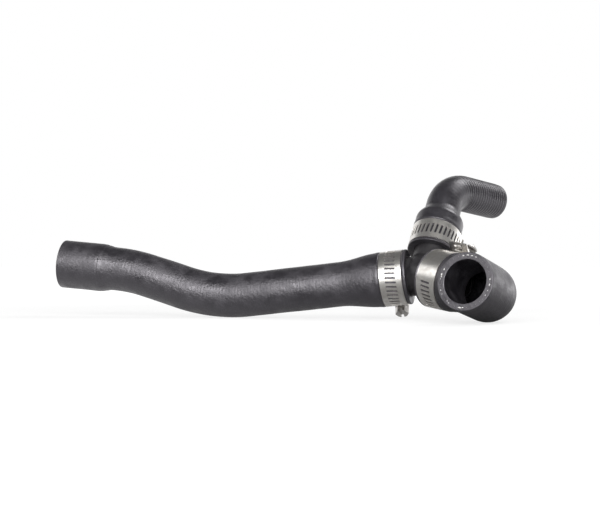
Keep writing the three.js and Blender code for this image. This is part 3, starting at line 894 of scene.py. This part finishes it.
def strap_mesh(name, arm, turn, middle, plain_degrees, tail_length):
    """A strap from slotted cells and plain stretches, worked out flat and then rolled to its clamp.

    Each stretch is an outer and an inner skin joined by walls at the slots and at the strap's two edges."""
    edge, slot = slot_cell()
    mean = arm["strap_inner"] + STRAP_THICKNESS / 2
    end_along = np.radians(END_DEGREES - START_DEGREES) * mean
    strap_end = end_along + tail_length
    first = np.radians(plain_degrees - START_DEGREES) * mean
    centres = first + SLOT_PITCH * np.arange(int((end_along - first) // SLOT_PITCH) + 1)
    tail_centres = np.arange(end_along + SLOT_PITCH, strap_end - SLOT_WIDTH, SLOT_PITCH)
    if tail_centres.size and tail_centres[0] - centres[-1] < SLOT_PITCH:
        centres = centres[:-1]
    centres = np.concatenate([centres, tail_centres])
    ring = len(edge)
    closed = np.append(np.arange(ring), 0)
    on_rim = edge[closed[:-1], 1] == edge[closed[1:], 1]
    points, faces = [], []
    count = 0
    for centre in centres:
        flat = np.concatenate([edge, slot])
        for lift in (STRAP_THICKNESS, 0.0):
            points.append(strap_points(arm, centre + flat[:, 0], flat[:, 1], lift))
        outer_edge, outer_slot, inner_edge, inner_slot = (count + ring * part + closed for part in range(4))
        faces.append(between(outer_edge, outer_slot))
        faces.append(between(inner_edge, inner_slot)[:, [1, 0, 3, 2]])
        faces.append(between(outer_slot, inner_slot))
        faces.append(between(outer_edge, inner_edge)[on_rim][:, [0, 3, 2, 1]])
        count += 4 * ring
    half = SLOT_PITCH / 2
    stretches = [(0.0, centres[0] - half)]
    for before, following in zip(centres, centres[1:]):
        if following - before > SLOT_PITCH + SLIVER:
            stretches.append((before + half, following - half))
    stretches.append((centres[-1] + half, strap_end))
    widths = np.linspace(-STRAP_WIDTH / 2, STRAP_WIDTH / 2, SIDE_STEPS + 1)
    for begin, end in stretches:
        rows = np.linspace(begin, end, max(1, int(np.ceil((end - begin) / PLAIN_STEP))) + 1)
        along = np.repeat(rows, len(widths))
        over = np.tile(widths, len(rows))
        skin = grid_faces(len(rows), len(widths))
        size = len(along)
        points.append(strap_points(arm, along, over, STRAP_THICKNESS))
        points.append(strap_points(arm, along, over, 0.0))
        faces.append(count + skin)
        faces.append(count + size + skin[:, ::-1])
        for column in (0, len(widths) - 1):
            line = count + column + len(widths) * np.arange(len(rows))
            wall = between(line, line + size)
            faces.append(wall if column == 0 else wall[:, ::-1])
        for row, is_end in ((0, begin == 0), (len(rows) - 1, end == strap_end)):
            line = count + row * len(widths) + np.arange(len(widths))
            wall = between(line, line + size)[:, [0, 3, 2, 1]]
            if is_end:
                faces.append(wall if row == 0 else wall[:, ::-1])
        count += 2 * size
    return weld(add_mesh(name, middle + np.concatenate(points) @ turn, np.concatenate(faces)), 2e-6)


EDGE_SEGMENTS = 2
EDGE_DEGREES = 30


def soften_edges(piece, width):
    """Rounds every edge of a sheet piece sharper than an angle, and shades the faces between as they lie."""
    bevel = piece.modifiers.new("edges", "BEVEL")
    bevel.width = width / 1000
    bevel.segments = EDGE_SEGMENTS
    bevel.limit_method = "ANGLE"
    bevel.angle_limit = np.radians(EDGE_DEGREES)
    bevel.miter_outer = "MITER_ARC"
    keep_modifiers(piece)
    piece.data.shade_smooth()
    piece.modifiers.new("shading", "WEIGHTED_NORMAL").keep_sharp = True
    bpy.context.view_layer.update()


STREAK_SHARE = 0.5


def rolled_streaks():
    """Streaks and faint stains of rolled strip steel, along one direction of a map in metres.

    Noise stretched along the strip gives the streaks, and a round noise the stains. Colour and roughness
    follow their sum."""
    group, given = new_group("rolled_streaks", {
        "Vector": (0, 0, 0), "Bright": (0.7, 0.7, 0.7, 1), "Dull": (0.5, 0.5, 0.5, 1),
        "Stretch": (0.03, 1, 1), "Scale": 4000.0, "Stain Scale": 260.0,
        "Roughness": 0.3, "Roughness Spread": 0.12,
    })
    stretched = add_node(group, "ShaderNodeVectorMath", operation="MULTIPLY",
                         in_0=given["Vector"], in_1=given["Stretch"]).outputs["Vector"]
    streaks = noise(group, stretched, given["Scale"], 3.0)
    stains = noise(group, given["Vector"], given["Stain Scale"], 3.0, 0.6)
    stained = fade(group, stains, 0.42, 0.7, kind="LINEAR")
    both = worked_out(group, "MULTIPLY_ADD", streaks, STREAK_SHARE, stained)
    add_node(
        group, "NodeGroupOutput",
        in_Color=blended(group, both, given["Bright"], given["Dull"]),
        in_Roughness=worked_out(group, "MULTIPLY_ADD", both, given["Roughness Spread"],
                                given["Roughness"]),
        in_Height=streaks,
    )
    return group


rolled_streaks_group = rolled_streaks()


def steel_material(name, coordinates, bright, dull, stretch, scale, roughness, spread, bump_depth):
    """A stainless finish, on a map or on the object's own coordinates."""
    settings = {"Bright": (*bright, 1), "Dull": (*dull, 1), "Stretch": stretch, "Scale": scale,
                "Roughness": roughness, "Roughness Spread": spread}
    return surface_material(name, rolled_streaks_group, coordinates, settings, bump_depth, Metallic=1.0)


MAP_RADIUS = 15


def strip_map(piece, turn, middle):
    """A map in metres: angle round the clamp times a middling radius along, place across the strap up."""
    mesh = piece.data
    layer = mesh.uv_layers.new(name="strip")
    points = np.zeros(3 * len(mesh.vertices))
    mesh.vertices.foreach_get("co", points)
    local = (points.reshape(-1, 3) * 1000 - junction - middle) @ turn.T
    corner = np.zeros(len(mesh.loops), int)
    mesh.loops.foreach_get("vertex_index", corner)
    along = MAP_RADIUS * np.arctan2(local[:, 1], -local[:, 0]) / 1000
    layer.data.foreach_set("uv", np.stack([along[corner], local[corner, 2] / 1000], -1).ravel())


clamp_steel = steel_material("clamp_steel", "UV", (0.9, 0.88, 0.85), (0.74, 0.71, 0.67),
                             stretch=(0.03, 1.0, 1.0), scale=5000.0, roughness=0.28, spread=0.1,
                             bump_depth=0.003)

# Each clamp: its arm, which way its z points along the arm, where its slots begin in degrees, and its tail.
CLAMPS = {"long": (long_arm, -1, 105, 9), "elbow": (elbow_arm, 1, 182.5, 15), "top": (top_arm, 1, 130, 9)}
clamp_places = {}
for clamp_name, (arm, facing, plain_degrees, tail_length) in CLAMPS.items():
    clamp_turn = screw_place(f"{clamp_name}_screw_turn", arm, facing)[1]
    clamp_middle = band_middle(arm)
    clamp_places[clamp_name] = (arm, clamp_turn, clamp_middle)
    strap = strap_mesh(f"{clamp_name}_strap", arm, clamp_turn, clamp_middle, plain_degrees, tail_length)
    strip_map(strap, clamp_turn, clamp_middle)
    soften_edges(strap, 0.09)
    strap.data.materials.append(clamp_steel)
    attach(strap, "hose_set")
    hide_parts(f"{clamp_name}_band")


# Clamp housings: stamped from the same stainless sheet, a dome over the worm with a saddle and two cheeks
# that grip the strap's edges. The screw's flange bears on one end of the dome.

HOUSING_LENGTH = 13.0
SHEET = 0.8
DOME_RADIUS = 4.1
SHOULDER_ROUNDING = 0.9
INNER_ROUNDING = 0.5
HOUSING_ROWS = 19
CHEEK_STEPS = 3
SHOULDER_STEPS = 4
DOME_STEPS = 24


def housing_mesh(name, arm, turn, middle):
    """A housing as an outer and an inner skin, over a grid of place along the screw and across the clamp.

    Across, a skin climbs a cheek from its foot on the hose, turns over a shoulder, follows the saddle to the
    dome's arc and comes down the same way. The saddle's height is sqrt(radius^2 - place^2)."""
    rows = np.linspace(-HOUSING_LENGTH / 2, HOUSING_LENGTH / 2, HOUSING_ROWS)
    foot = np.sqrt((arm["cuff"] + FIT_GAP) ** 2 - rows[:, None] ** 2)
    skins = []
    for lift in (SHEET, 0.0):
        half = STRAP_WIDTH / 2 + FIT_GAP + lift
        rise = arm["lap_inner"] + STRAP_THICKNESS + FIT_GAP + lift
        dome = DOME_RADIUS - SHEET + lift
        fillet = min(SHOULDER_ROUNDING, INNER_ROUNDING + lift)
        crown = np.sqrt(rise ** 2 - rows[:, None] ** 2)
        over_saddle = rise - arm["screw_offset"]
        meet = np.arcsin(over_saddle / dome) if abs(over_saddle) < dome else 0
        meet = np.degrees(meet)
        dome_z, dome_x = arc((0, arm["screw_offset"]), dome, 180 - meet, meet, DOME_STEPS)
        share = np.linspace(0, 1, CHEEK_STEPS + 1)[:-1]
        bend = np.linspace(0, np.pi / 2, SHOULDER_STEPS + 1)
        cheek = foot + (crown - fillet - foot) * share
        shoulder = crown - fillet * (1 - np.sin(bend))
        side_x = np.concatenate([cheek, shoulder, crown], 1)
        side_z = np.concatenate([np.full(CHEEK_STEPS, -half), fillet * (1 - np.cos(bend)) - half,
                                 [(fillet - half + dome_z[0]) / 2]])
        x = np.concatenate([side_x, np.maximum(dome_x, crown), side_x[:, ::-1]], 1)
        z = np.broadcast_to(np.concatenate([side_z, dome_z, -side_z[::-1]]), x.shape)
        y = np.broadcast_to(rows[:, None], x.shape)
        skins.append(np.stack([x, y, z], -1))
    loop = np.concatenate([skins[0], skins[1][:, ::-1]], 1)
    count = loop.shape[1]
    outer = np.arange(skins[0].shape[1] - 1)
    caps = []
    for row in (0, len(rows) - 1):
        base = row * count
        inner = base + count - 1 - outer
        cap = np.stack([base + outer, base + outer + 1, inner - 1, inner], -1)
        caps.append(cap if row else cap[:, ::-1])
    faces = np.concatenate([grid_faces(len(rows), count, close_columns=True), *caps])
    return add_mesh(name, middle + loop.reshape(-1, 3) @ turn, faces)


for clamp_name, (arm, clamp_turn, clamp_middle) in clamp_places.items():
    housing = housing_mesh(f"{clamp_name}_clamp_housing", arm, clamp_turn, clamp_middle)
    strip_map(housing, clamp_turn, clamp_middle)
    soften_edges(housing, 0.16)
    housing.data.materials.append(clamp_steel)
    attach(housing, "hose_set")
    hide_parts(f"{clamp_name}_housing")


# Clamp screws: turned and rolled steel worms with a coarse right-hand thread, a flange and a hexagon head
# with a driver slot. Each turns in its housing, so it rides on its own body.

WORM_ROOT = 2.15
NECK_RADIUS = 2.5
NECK_LENGTH = 1.2
WORM_INSET = 0.5
FLANGE_RADIUS = 3.95
FLANGE_THICKNESS = 1.0
HEX_FLATS = 7.0
HEX_HEIGHT = 4.8
HEAD_CHAMFER = 0.75
HEAD_CONE_INSET = 0.1
HEAD_CONE_SLOPE = 1.7
FLANGE_ROUNDING = 0.12
FLANGE_ROUNDING_LENGTH = 0.15
TOOTH_FLANK_FROM, TOOTH_FLANK_TO = 0.12, 0.34
THREAD_RUN_OUT = 1.5
WORM_END_ROUNDING = 0.15
DRIVER_SLOT_WIDTH = 1.7
DRIVER_SLOT_DEPTH = 2.2
DRIVER_SLOT_REACH = 6.0
SCREW_AROUND = 96
WORM_STATIONS = 110
CRISP = 0.02
SCREW_SHARP_DEGREES = 38


def screw_mesh(name, turn, at):
    """A screw as one turned surface: radius by place along it and by angle.

    Worm: root + depth of a rounded tooth, by place / pitch - angle / full turn. Head: flats of a hexagon,
    half width / cos of the angle from the middle of the flat, cut down by a cone at its end. Stations lie
    close together at each step, so that its edge stays crisp."""
    neck_top = -HOUSING_LENGTH / 2 - FIT_GAP
    neck_end = neck_top + NECK_LENGTH
    head_start = neck_top - FLANGE_THICKNESS
    head_end = head_start - HEX_HEIGHT
    tip = HOUSING_LENGTH / 2 - WORM_INSET
    angle = np.linspace(0, 2 * np.pi, SCREW_AROUND, endpoint=False)[None, :]
    stations = np.concatenate([
        [head_end, head_end],
        np.linspace(head_end + CRISP, head_end + 1.0, 8),
        np.linspace(head_end + 1.2, head_start - 0.25, 5),
        [head_start - CRISP, head_start, head_start + CRISP],
        [head_start + 0.15, neck_top - 0.15, neck_top - CRISP, neck_top, neck_top + CRISP],
        [neck_top + 0.1, neck_end - 0.1],
        np.linspace(neck_end, tip - 0.5, WORM_STATIONS),
        [tip - 0.35, tip - 0.1, tip, tip],
    ])[:, None]
    flat_angle = (angle + np.pi / 6) % (np.pi / 3) - np.pi / 6
    hexagon = HEX_FLATS / 2 / np.cos(flat_angle)
    cone_start = HEX_FLATS / 2 - HEAD_CONE_INSET + HEAD_CHAMFER
    cone = cone_start + (stations - head_end - HEAD_CHAMFER) * HEAD_CONE_SLOPE
    head = np.minimum(np.minimum(hexagon, cone), FLANGE_RADIUS)
    phase = (stations / SLOT_PITCH - angle / (2 * np.pi)) % 1
    tooth = ease(0.5 - np.abs(phase - 0.5), TOOTH_FLANK_FROM, TOOTH_FLANK_TO)
    run_in = ease(stations, neck_end, neck_end + THREAD_RUN_OUT)
    run_out = 1 - ease(stations, tip - THREAD_RUN_OUT, tip)
    thread = WORM_ROOT + (WORM_DIAMETER / 2 - WORM_ROOT) * tooth * run_in * run_out
    radius = np.where(stations < head_start, head, thread)
    edge_share = np.minimum(stations - head_start, neck_top - stations) / FLANGE_ROUNDING_LENGTH
    flange = FLANGE_RADIUS - FLANGE_ROUNDING + FLANGE_ROUNDING * np.minimum(edge_share, 1)
    radius = np.where((stations >= head_start) & (stations <= neck_top), flange, radius)
    radius = np.where((stations > neck_top) & (stations < neck_end), NECK_RADIUS, radius)
    radius[0] = 0.001
    radius[-3] = WORM_ROOT - WORM_END_ROUNDING
    radius[-2] = WORM_ROOT - 0.5
    radius[-1] = 0.001
    along = np.broadcast_to(stations, radius.shape)
    points = np.stack([-radius * np.cos(angle), along, radius * np.sin(angle)], -1)
    faces = grid_faces(len(stations), SCREW_AROUND, close_columns=True)
    piece = weld(add_mesh(name, at + points.reshape(-1, 3) @ turn, faces), 5e-6)
    half = DRIVER_SLOT_WIDTH / 2
    corners = np.array([
        (x, y, z)
        for x in (-DRIVER_SLOT_REACH, DRIVER_SLOT_REACH)
        for y in (head_end - 1, head_end + DRIVER_SLOT_DEPTH)
        for z in (-half, half)
    ])
    box = np.array([[0, 1, 3, 2], [4, 6, 7, 5], [0, 4, 5, 1], [2, 3, 7, 6], [0, 2, 6, 4], [1, 5, 7, 3]])
    join_or_cut(piece, add_mesh("driver_slot", at + corners @ turn, box), "DIFFERENCE")
    piece.data.shade_smooth()
    piece.data.set_sharp_from_angle(angle=np.radians(SCREW_SHARP_DEGREES))
    return piece


screw_steel = steel_material("screw_steel", "Object", (0.62, 0.6, 0.58), (0.4, 0.385, 0.37),
                             stretch=(1.0, 1.0, 1.0), scale=3000.0, roughness=0.26, spread=0.14,
                             bump_depth=0.004)
for clamp_name, (arm, clamp_turn, clamp_middle) in clamp_places.items():
    screw_at = clamp_middle + clamp_turn[0] * arm["screw_offset"]
    screw = screw_mesh(f"{clamp_name}_worm_screw", clamp_turn, screw_at)
    screw.data.materials.append(screw_steel)
    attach(screw, f"{clamp_name}_clamp_screw")
    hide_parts(f"{clamp_name}_screw")


# Table, camera and light: a plain white table that runs back to a white background, and soft studio lamps.
# The camera stands level, a little above the table, with a long lens.

CAMERA_FROM_JUNCTION = (-70.2, -806.0, 8.3)
LENS = 85.0

camera_data = bpy.data.cameras.new("camera")
camera_data.lens = LENS
camera_data.sensor_width = 36.0
camera_data.clip_start = 0.01
camera_data.clip_end = 50.0
camera = bpy.data.objects.new("camera", camera_data)
camera.location = (junction + CAMERA_FROM_JUNCTION) / 1000
camera.rotation_euler = (np.pi / 2, 0, 0)
bpy.context.scene.collection.objects.link(camera)
bpy.context.scene.camera = camera

TABLE_SIZE = 12.0
TABLE_DROP = 0.0002
half_table = TABLE_SIZE / 2
table_sides = ((-1, -1), (1, -1), (1, 1), (-1, 1))
table_corners = [(x * half_table, y * half_table, -TABLE_DROP) for x, y in table_sides]
table_mesh = bpy.data.meshes.new("table")
table_mesh.from_pydata(table_corners, [], [(0, 1, 2, 3)])
table = bpy.data.objects.new("table", table_mesh)
bpy.context.scene.collection.objects.link(table)

TABLE_WHITE = 0.26
TABLE_GLOW = 0.77
FAR_GLOW = 1.0
FAR_FROM, FAR_TO = 0.2, 0.7
NEAR_GLOW = 0.04
GLOW_FROM, GLOW_TO = -0.02, 0.09
SIDE_FROM, SIDE_TO = 0.12, 0.22
AMBIENT = 0.24
ROOM_DIM = 0.12
BACK_FROM, BACK_TO = -0.1, 0.35
SWEEP_TOP, SWEEP_END = 0.35, 0.7


def ray_kinds(tree):
    """Light Path's sockets, and a value that is 1 for rays that see a surface directly or through glass."""
    path = add_node(tree, "ShaderNodeLightPath").outputs
    return path, worked_out(tree, "MAXIMUM", path["Is Camera Ray"], path["Is Transmission Ray"])


# The table's paint, and its glow for rays that show it directly. Mirror rays see the glow weaker in front.
table_material = bpy.data.materials.new("table_white")
table_material.use_nodes = True
tree = table_material.node_tree
tree.nodes.clear()
path, direct = ray_kinds(tree)
place = add_node(tree, "ShaderNodeTexCoord").outputs["Object"]
axes = add_node(tree, "ShaderNodeSeparateXYZ", in_0=place).outputs
reach = add_node(tree, "ShaderNodeVectorMath", operation="LENGTH", in_0=place).outputs["Value"]
behind = fade(tree, axes["Y"], GLOW_FROM, GLOW_TO, NEAR_GLOW, 1.0)
beside = fade(tree, axes["X"], SIDE_FROM, SIDE_TO, NEAR_GLOW, 1.0)
around = worked_out(tree, "MAXIMUM", behind, beside)
mirrored = worked_out(tree, "MULTIPLY", path["Is Glossy Ray"], around)
seen = worked_out(tree, "MAXIMUM", direct, mirrored)
far_away = fade(tree, reach, FAR_FROM, FAR_TO, TABLE_GLOW, FAR_GLOW)
strength = worked_out(tree, "MULTIPLY", seen, far_away)
paint = add_node(tree, "ShaderNodeBsdfDiffuse", in_Color=(*[TABLE_WHITE] * 3, 1))
glow = add_node(tree, "ShaderNodeEmission", in_Strength=strength)
both = add_node(tree, "ShaderNodeAddShader", in_0=paint.outputs[0], in_1=glow.outputs[0])
add_node(tree, "ShaderNodeOutputMaterial", in_Surface=both.outputs[0])
table_mesh.materials.append(table_material)

# The world: white to the camera, an even soft light, and for mirror rays a white sweep in a dimmer room.
world = bpy.data.worlds.new("studio")
world.use_nodes = True
bpy.context.scene.world = world
tree = world.node_tree
tree.nodes.clear()
path, direct = ray_kinds(tree)
place = add_node(tree, "ShaderNodeTexCoord").outputs["Generated"]
axes = add_node(tree, "ShaderNodeSeparateXYZ", in_0=place).outputs
behind = fade(tree, axes["Y"], BACK_FROM, BACK_TO, 0.0, 1.0)
low_down = fade(tree, axes["Z"], SWEEP_TOP, SWEEP_END, 1.0, 0.0)
sweep = worked_out(tree, "MULTIPLY", behind, low_down)
room_light = fade(tree, sweep, 0.0, 1.0, ROOM_DIM, 1.0)
room, soft, white = (
    add_node(tree, "ShaderNodeBackground", in_Color=(1, 1, 1, 1), in_Strength=light).outputs[0]
    for light in (room_light, AMBIENT, 1.0)
)
mirrored = add_node(tree, "ShaderNodeMixShader", in_0=path["Is Glossy Ray"], in_1=soft, in_2=room)
seen = add_node(tree, "ShaderNodeMixShader", in_0=direct, in_1=mirrored.outputs[0], in_2=white)
add_node(tree, "ShaderNodeOutputWorld", in_Surface=seen.outputs[0])


def soft_box(name, azimuth, elevation, distance, width, height, power):
    """A rectangular lamp that faces the object from an azimuth, 0 at the camera's side, and an elevation."""
    lamp_data = bpy.data.lights.new(name, "AREA")
    lamp_data.shape = "RECTANGLE"
    lamp_data.size = width
    lamp_data.size_y = height
    lamp_data.energy = power
    lamp = bpy.data.objects.new(name, lamp_data)
    around, above = np.radians(azimuth), np.radians(elevation)
    back = np.array([np.sin(around) * np.cos(above), -np.cos(around) * np.cos(above), np.sin(above)])
    lamp.location = back * distance + (0, 0, 0.03)
    lamp.rotation_euler = (np.pi / 2 - above, 0, around)
    bpy.context.scene.collection.objects.link(lamp)
    return lamp


# Each lamp: azimuth and elevation in degrees, then distance, width and height in metres, and watts.
soft_box("front_box", -6, 21, 1.3, 1.3, 0.92, 23)
soft_box("left_box", -80, 30, 1.4, 0.7, 0.7, 2.5)
soft_box("right_box", 118, 46, 1.3, 0.6, 0.6, 6)
soft_box("right_fill", 118, 2, 0.9, 0.7, 0.1, 0.4)

scene = bpy.context.scene
scene.view_settings.view_transform = "Standard"
